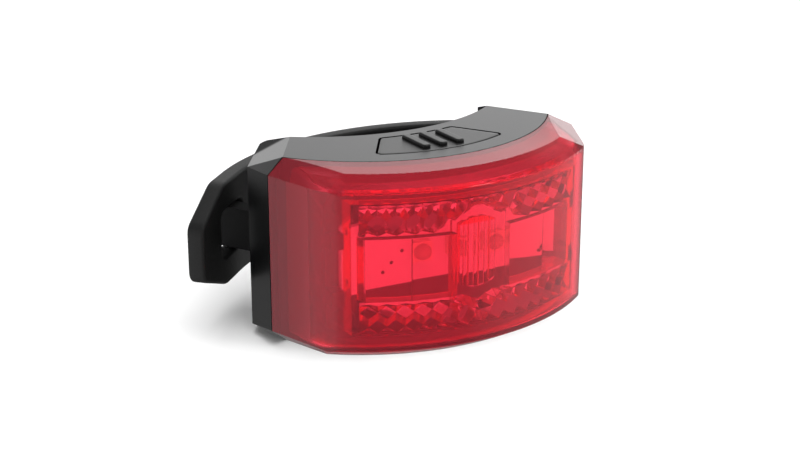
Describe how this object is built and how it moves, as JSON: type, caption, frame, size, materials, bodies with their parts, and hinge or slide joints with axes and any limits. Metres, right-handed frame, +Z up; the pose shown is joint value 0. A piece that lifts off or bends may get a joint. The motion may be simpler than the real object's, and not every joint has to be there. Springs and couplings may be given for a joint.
{
  "type": "bike rear light",
  "caption": "Curved bicycle rear light with a clear red reflector lens, a black housing with a push pad on top and a rubber seatpost strap with a pull tab.",
  "frame": {"origin": "on the underside, on the mirror plane of the housing, in line with the side seams between lens and housing", "axes": "+X to the right seen from the front and along the light's width, +Y backwards to the seatpost and the strap, +Z up"},
  "size_m": [0.0746, 0.0546, 0.0336],
  "materials": {
    "red_lens": "clear red moulded polycarbonate, glossy",
    "black_plastic": "black moulded ABS, satin",
    "black_rubber": "black silicone rubber, matt",
    "foam_rubber": "black closed-cell foam",
    "circuit_board": "green solder resist",
    "white_board": "white solder resist",
    "led_package": "white LED package",
    "clear_dome": "clear silicone dome",
    "ferrite": "grey ferrite",
    "flat_cable": "amber polyimide film",
    "steel": "plated steel",
    "cell_foil": "aluminium laminate pouch",
    "lead_black": "black wire insulation",
    "lead_red": "red wire insulation",
    "ceramic": "tan ceramic"
  },
  "bodies": {
    "light_body": {"lens_cover": "red_lens", "lens_seal": "foam_rubber", "rear_housing": "black_plastic", "button_retainer": "black_plastic", "switch_board": "circuit_board", "switch_body": "black_plastic", "driver_chip": "black_plastic", "power_inductor": "ferrite", "switch_ribbon": "flat_cable", "board_carrier": "black_plastic", "led_board": "white_board", "led_left": "led_package", "led_centre": "led_package", "led_right": "led_package", "led_domes": "clear_dome", "board_resistors": "black_plastic", "carrier_screws": "steel", "battery_cell": "cell_foil", "battery_pad": "foam_rubber", "battery_lead_black": "lead_black", "battery_lead_red": "lead_red", "charge_board": "circuit_board", "charge_socket": "steel", "board_capacitors": "ceramic", "strap_pin": "steel"},
    "push_button": {"button_pad": "black_rubber", "switch_plunger": "black_plastic"},
    "seatpost_strap": {"strap": "black_rubber"},
    "charge_flap": {"port_flap": "black_rubber"}
  },
  "joints": [
    {"name": "button_press", "type": "slide", "parent": "light_body", "child": "push_button", "axis": [0, 0, -1], "range_m": [0, 0.0004], "stiffness_N_per_m": 1000, "springref_m": -0.001},
    {"name": "strap_swing", "type": "hinge", "parent": "light_body", "child": "seatpost_strap", "pos_m": [0.03015, 0.01633, 0.0164], "axis": [0, 0, -1], "range_deg": [0, 60]},
    {"name": "flap_swing", "type": "hinge", "parent": "light_body", "child": "charge_flap", "pos_m": [0.03015, 0.004, 0.0099], "axis": [0, 1, 0], "range_deg": [0, 110]}
  ]
}
